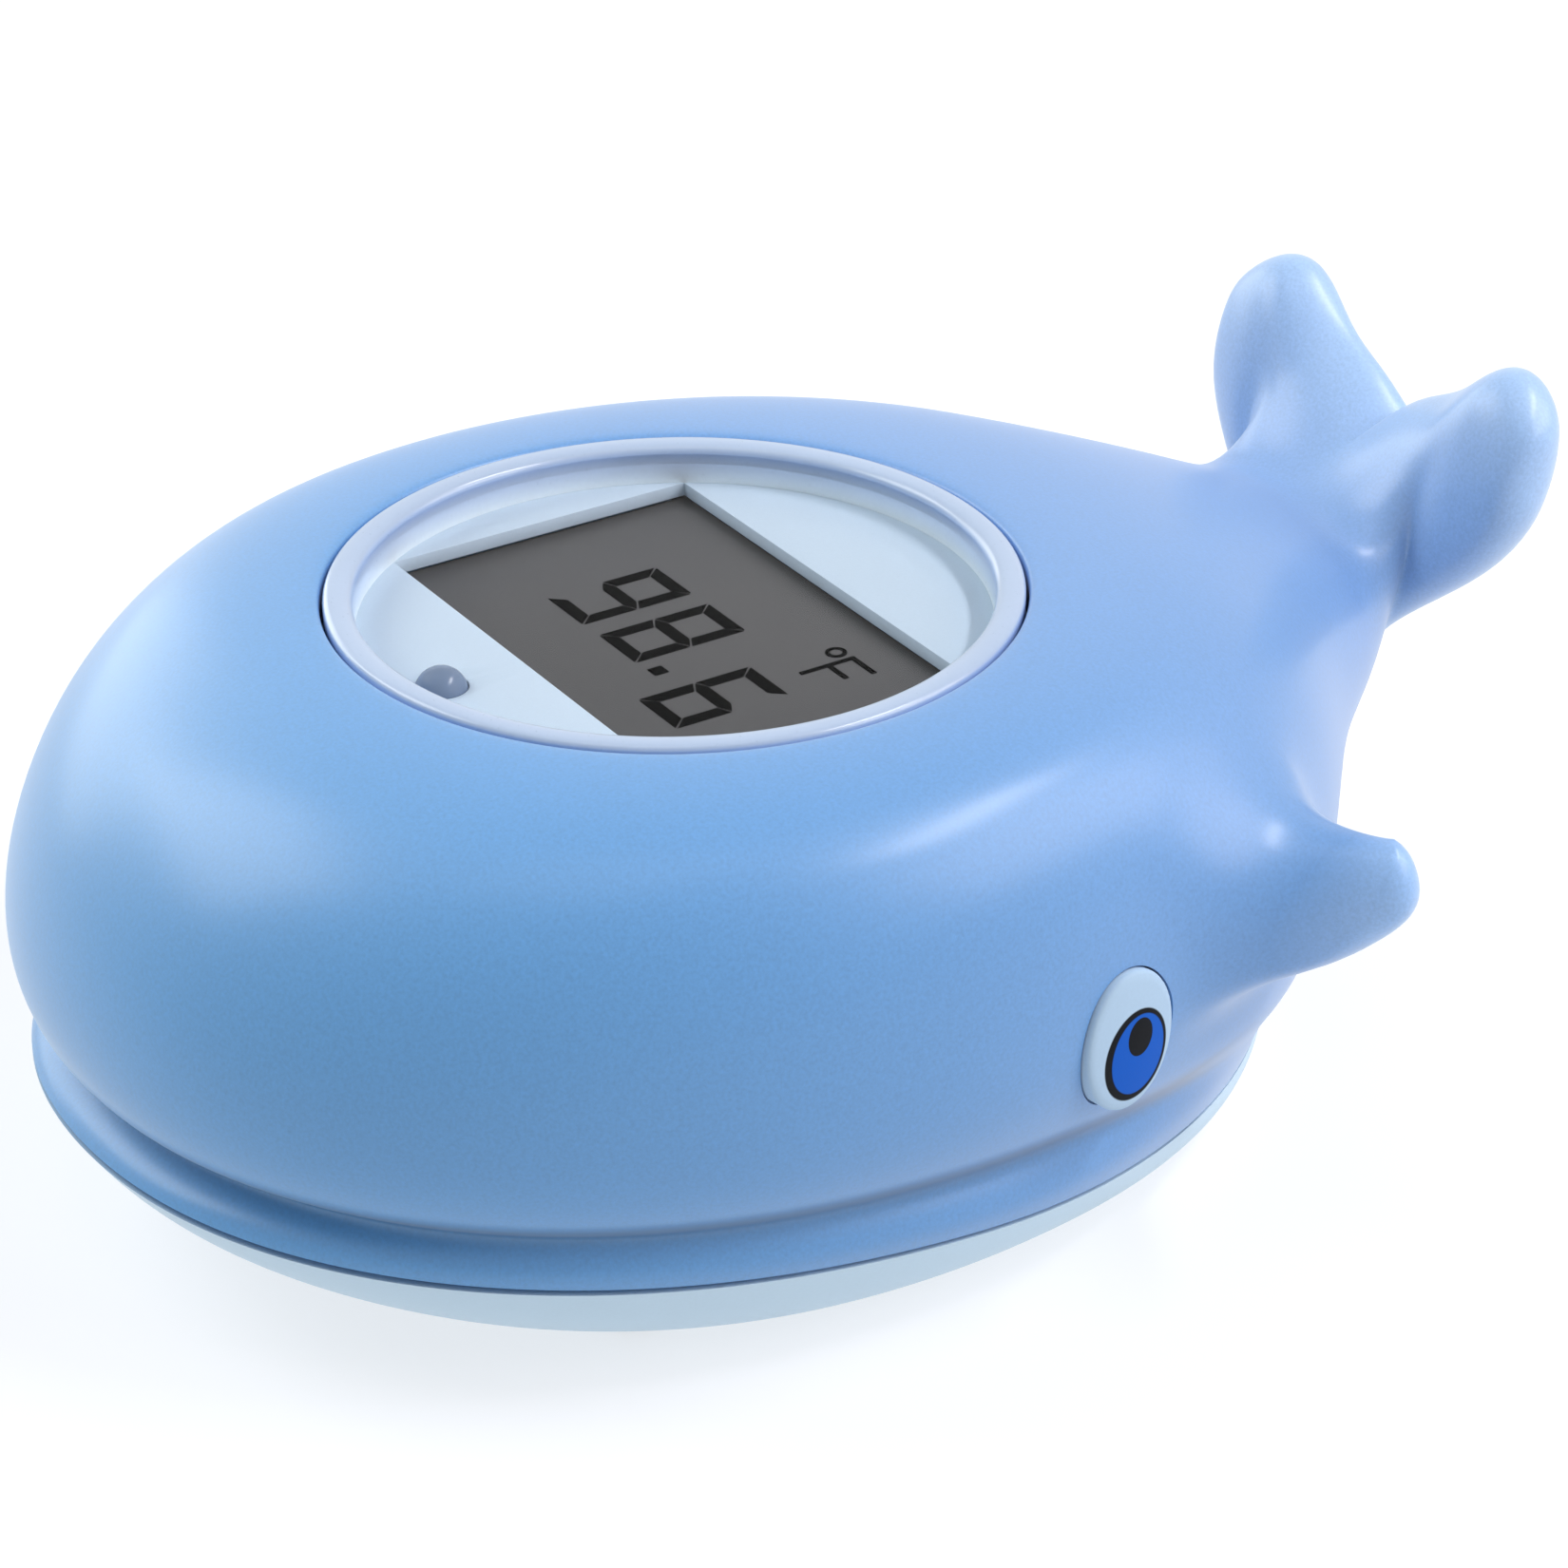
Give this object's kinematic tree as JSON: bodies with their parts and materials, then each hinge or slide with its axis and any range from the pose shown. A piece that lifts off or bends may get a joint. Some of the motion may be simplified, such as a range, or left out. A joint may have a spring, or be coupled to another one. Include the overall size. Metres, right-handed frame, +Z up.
{
  "type": "baby bath thermometer",
  "caption": "Floating whale-shaped bath thermometer with a round clear window over a digital display, oval eyes, side flippers, an upright two-lobed tail and a pale flat-bottomed belly.",
  "frame": {"origin": "middle of the flat base, on the round window's vertical axis", "axes": "+Z up, +Y towards the tail, +X towards the whale's left side; the whale is symmetric about the YZ plane"},
  "size_m": [0.0898, 0.1131, 0.0446],
  "materials": {
    "shell_blue": "satin",
    "belly_pale": "satin",
    "clear_window": "polished clear",
    "plate_pale": "satin",
    "lcd_grey": "flat grey display",
    "seal_rubber": "matte",
    "board_green": "satin",
    "black_resin": "matte",
    "led_grey": "translucent",
    "eye_white": "satin with printed iris",
    "steel": "plain",
    "cell_steel": "polished",
    "wire_red": "insulation",
    "wire_black": "insulation",
    "zebra_pink": "silicone"
  },
  "bodies": {
    "root": {"upper_shell": "shell_blue", "belly_shell": "belly_pale", "window_lens": "clear_window", "face_plate": "plate_pale", "lens_gasket": "seal_rubber", "lcd_glass": "lcd_grey", "zebra_front": "zebra_pink", "zebra_rear": "zebra_pink", "circuit_board": "board_green", "chip_blob": "black_resin", "board_screw_1": "steel", "board_screw_2": "steel", "alarm_led": "led_grey", "eye_left": "eye_white", "eye_right": "eye_white", "case_seal": "seal_rubber", "case_screw_1": "steel", "case_screw_2": "steel", "case_screw_3": "steel", "case_screw_4": "steel", "battery_door": "belly_pale", "door_seal": "seal_rubber", "door_screw_1": "steel", "door_screw_2": "steel", "coin_cell": "cell_steel", "contact_minus": "steel", "contact_plus": "steel", "sensor_cap": "steel", "thermistor": "black_resin", "water_pin_1": "steel", "water_pin_2": "steel", "sensor_wire_1": "wire_red", "sensor_wire_2": "wire_black", "pin_wire_1": "wire_black", "pin_wire_2": "wire_black", "cell_wire_1": "wire_red", "cell_wire_2": "wire_black"}
  },
  "joints": []
}
